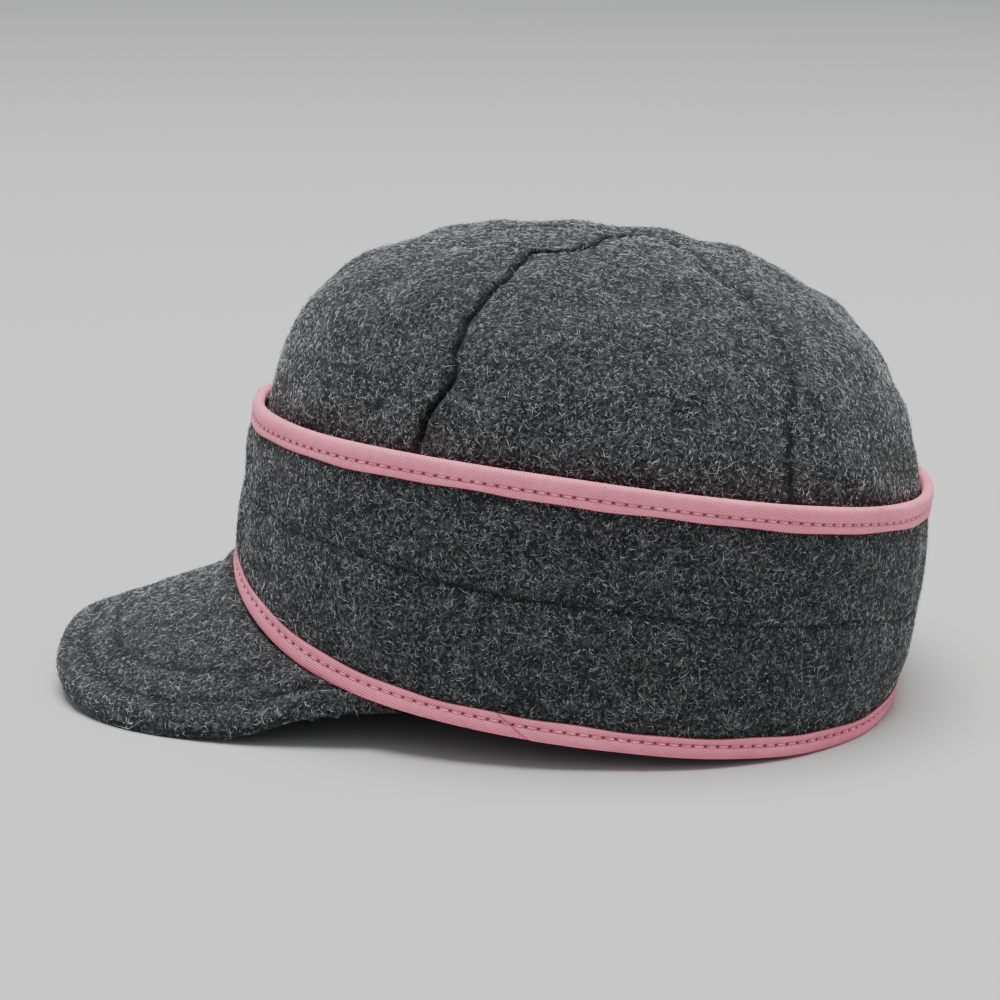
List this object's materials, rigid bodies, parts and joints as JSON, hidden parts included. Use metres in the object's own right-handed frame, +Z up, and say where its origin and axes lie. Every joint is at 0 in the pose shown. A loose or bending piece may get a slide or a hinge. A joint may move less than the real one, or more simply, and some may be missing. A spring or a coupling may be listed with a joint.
{
  "type": "wool cap with a turned-up ear band and a visor",
  "caption": "Charcoal wool cap with a paneled round crown, a turned-up ear band bound in pink cotton tape, and a curved wool visor.",
  "frame": {"origin": "middle of the cap's box, on the surface that it rests on", "axes": "+Z up, -Y towards the visor at the front, +X towards the wearer's left"},
  "size_m": [0.1882, 0.2742, 0.1435],
  "materials": {
    "wool": "matt, fuzzy, dark heather wool cloth",
    "binding": "matt twill tape"
  },
  "bodies": {
    "root": {"crown_front_left": "wool", "crown_side_left": "wool", "crown_back_left": "wool", "crown_back_right": "wool", "crown_side_right": "wool", "crown_front_right": "wool", "ear_band": "wool", "band_top_binding": "binding", "band_bottom_binding": "binding", "visor_top": "wool", "visor_under": "wool"}
  },
  "joints": []
}
